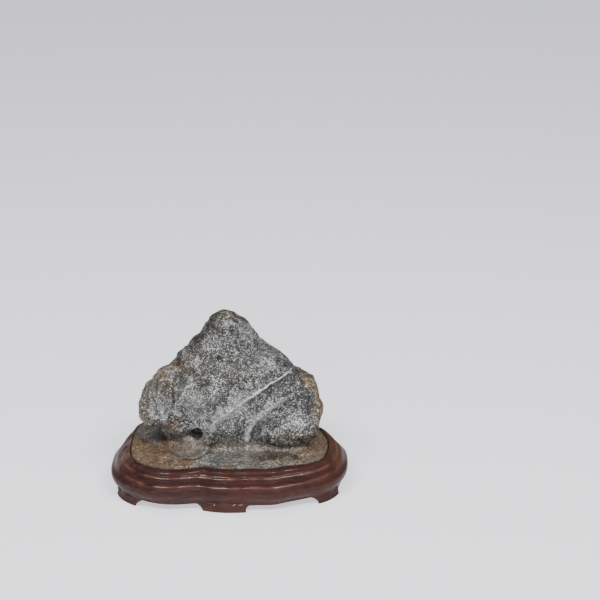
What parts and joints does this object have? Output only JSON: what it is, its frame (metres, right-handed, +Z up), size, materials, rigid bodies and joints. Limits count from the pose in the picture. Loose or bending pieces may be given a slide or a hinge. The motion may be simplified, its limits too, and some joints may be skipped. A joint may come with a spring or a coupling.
{
  "type": "scholar's rock",
  "caption": "Peaked, hut-shaped dark grey viewing stone with a small cave at its foot, resting in a lobed, moulded tray-like stand of dark hardwood on low carved feet.",
  "frame": {"origin": "on the table under the middle of the stand's outline", "axes": "+X to the right along the stand's length, +Y from the front with the cave towards the back, +Z up"},
  "size_m": [0.1701, 0.119, 0.125],
  "materials": {
    "grey_stone": "matte",
    "dark_hardwood": "gloss"
  },
  "bodies": {
    "root": {"stone": "grey_stone", "stand": "dark_hardwood"}
  },
  "joints": []
}
